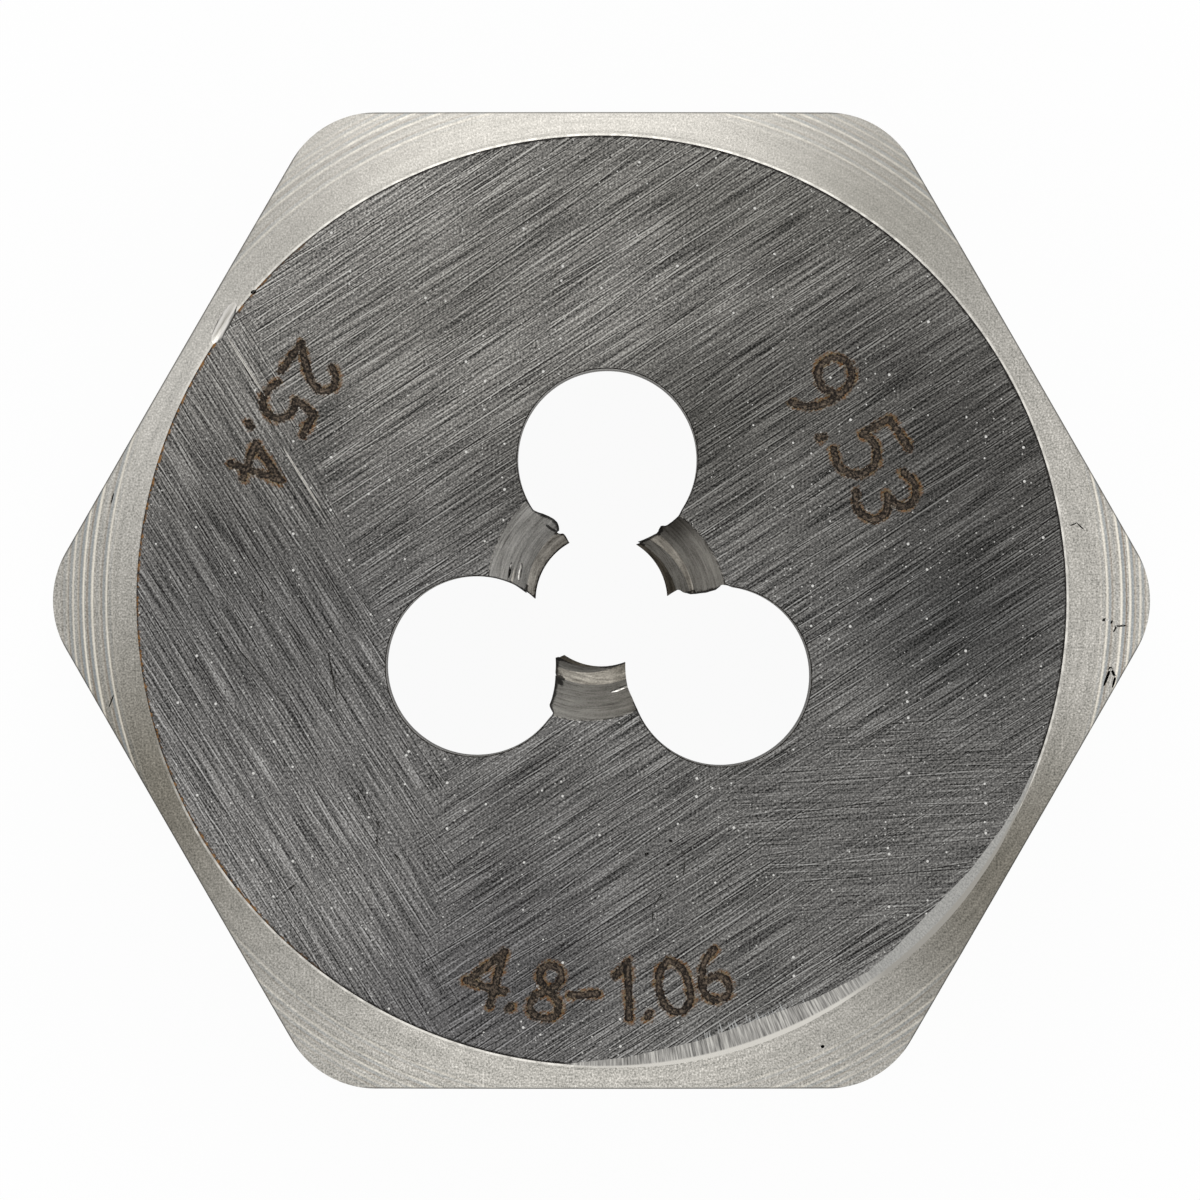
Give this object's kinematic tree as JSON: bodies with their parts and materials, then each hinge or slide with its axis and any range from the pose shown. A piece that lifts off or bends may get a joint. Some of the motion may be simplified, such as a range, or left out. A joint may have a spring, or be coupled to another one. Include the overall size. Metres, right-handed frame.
{
  "type": "hex threading die",
  "caption": "Solid hexagonal die that cuts an external right-hand thread on a rod, turned by its six flats, with clearance holes between its cutting lands.",
  "frame": {"origin": "centre of the hexagon on the back face, on the axis of the thread", "axes": "+Z along the thread's axis out of the start face, +X through a corner of the hexagon, +Y square to a flat"},
  "size_m": [0.0286, 0.0254, 0.0095],
  "materials": {
    "tool_steel": "ground and worn faces, turned corners, light rust"
  },
  "bodies": {
    "root": {"hex_die": "tool_steel"}
  },
  "joints": []
}
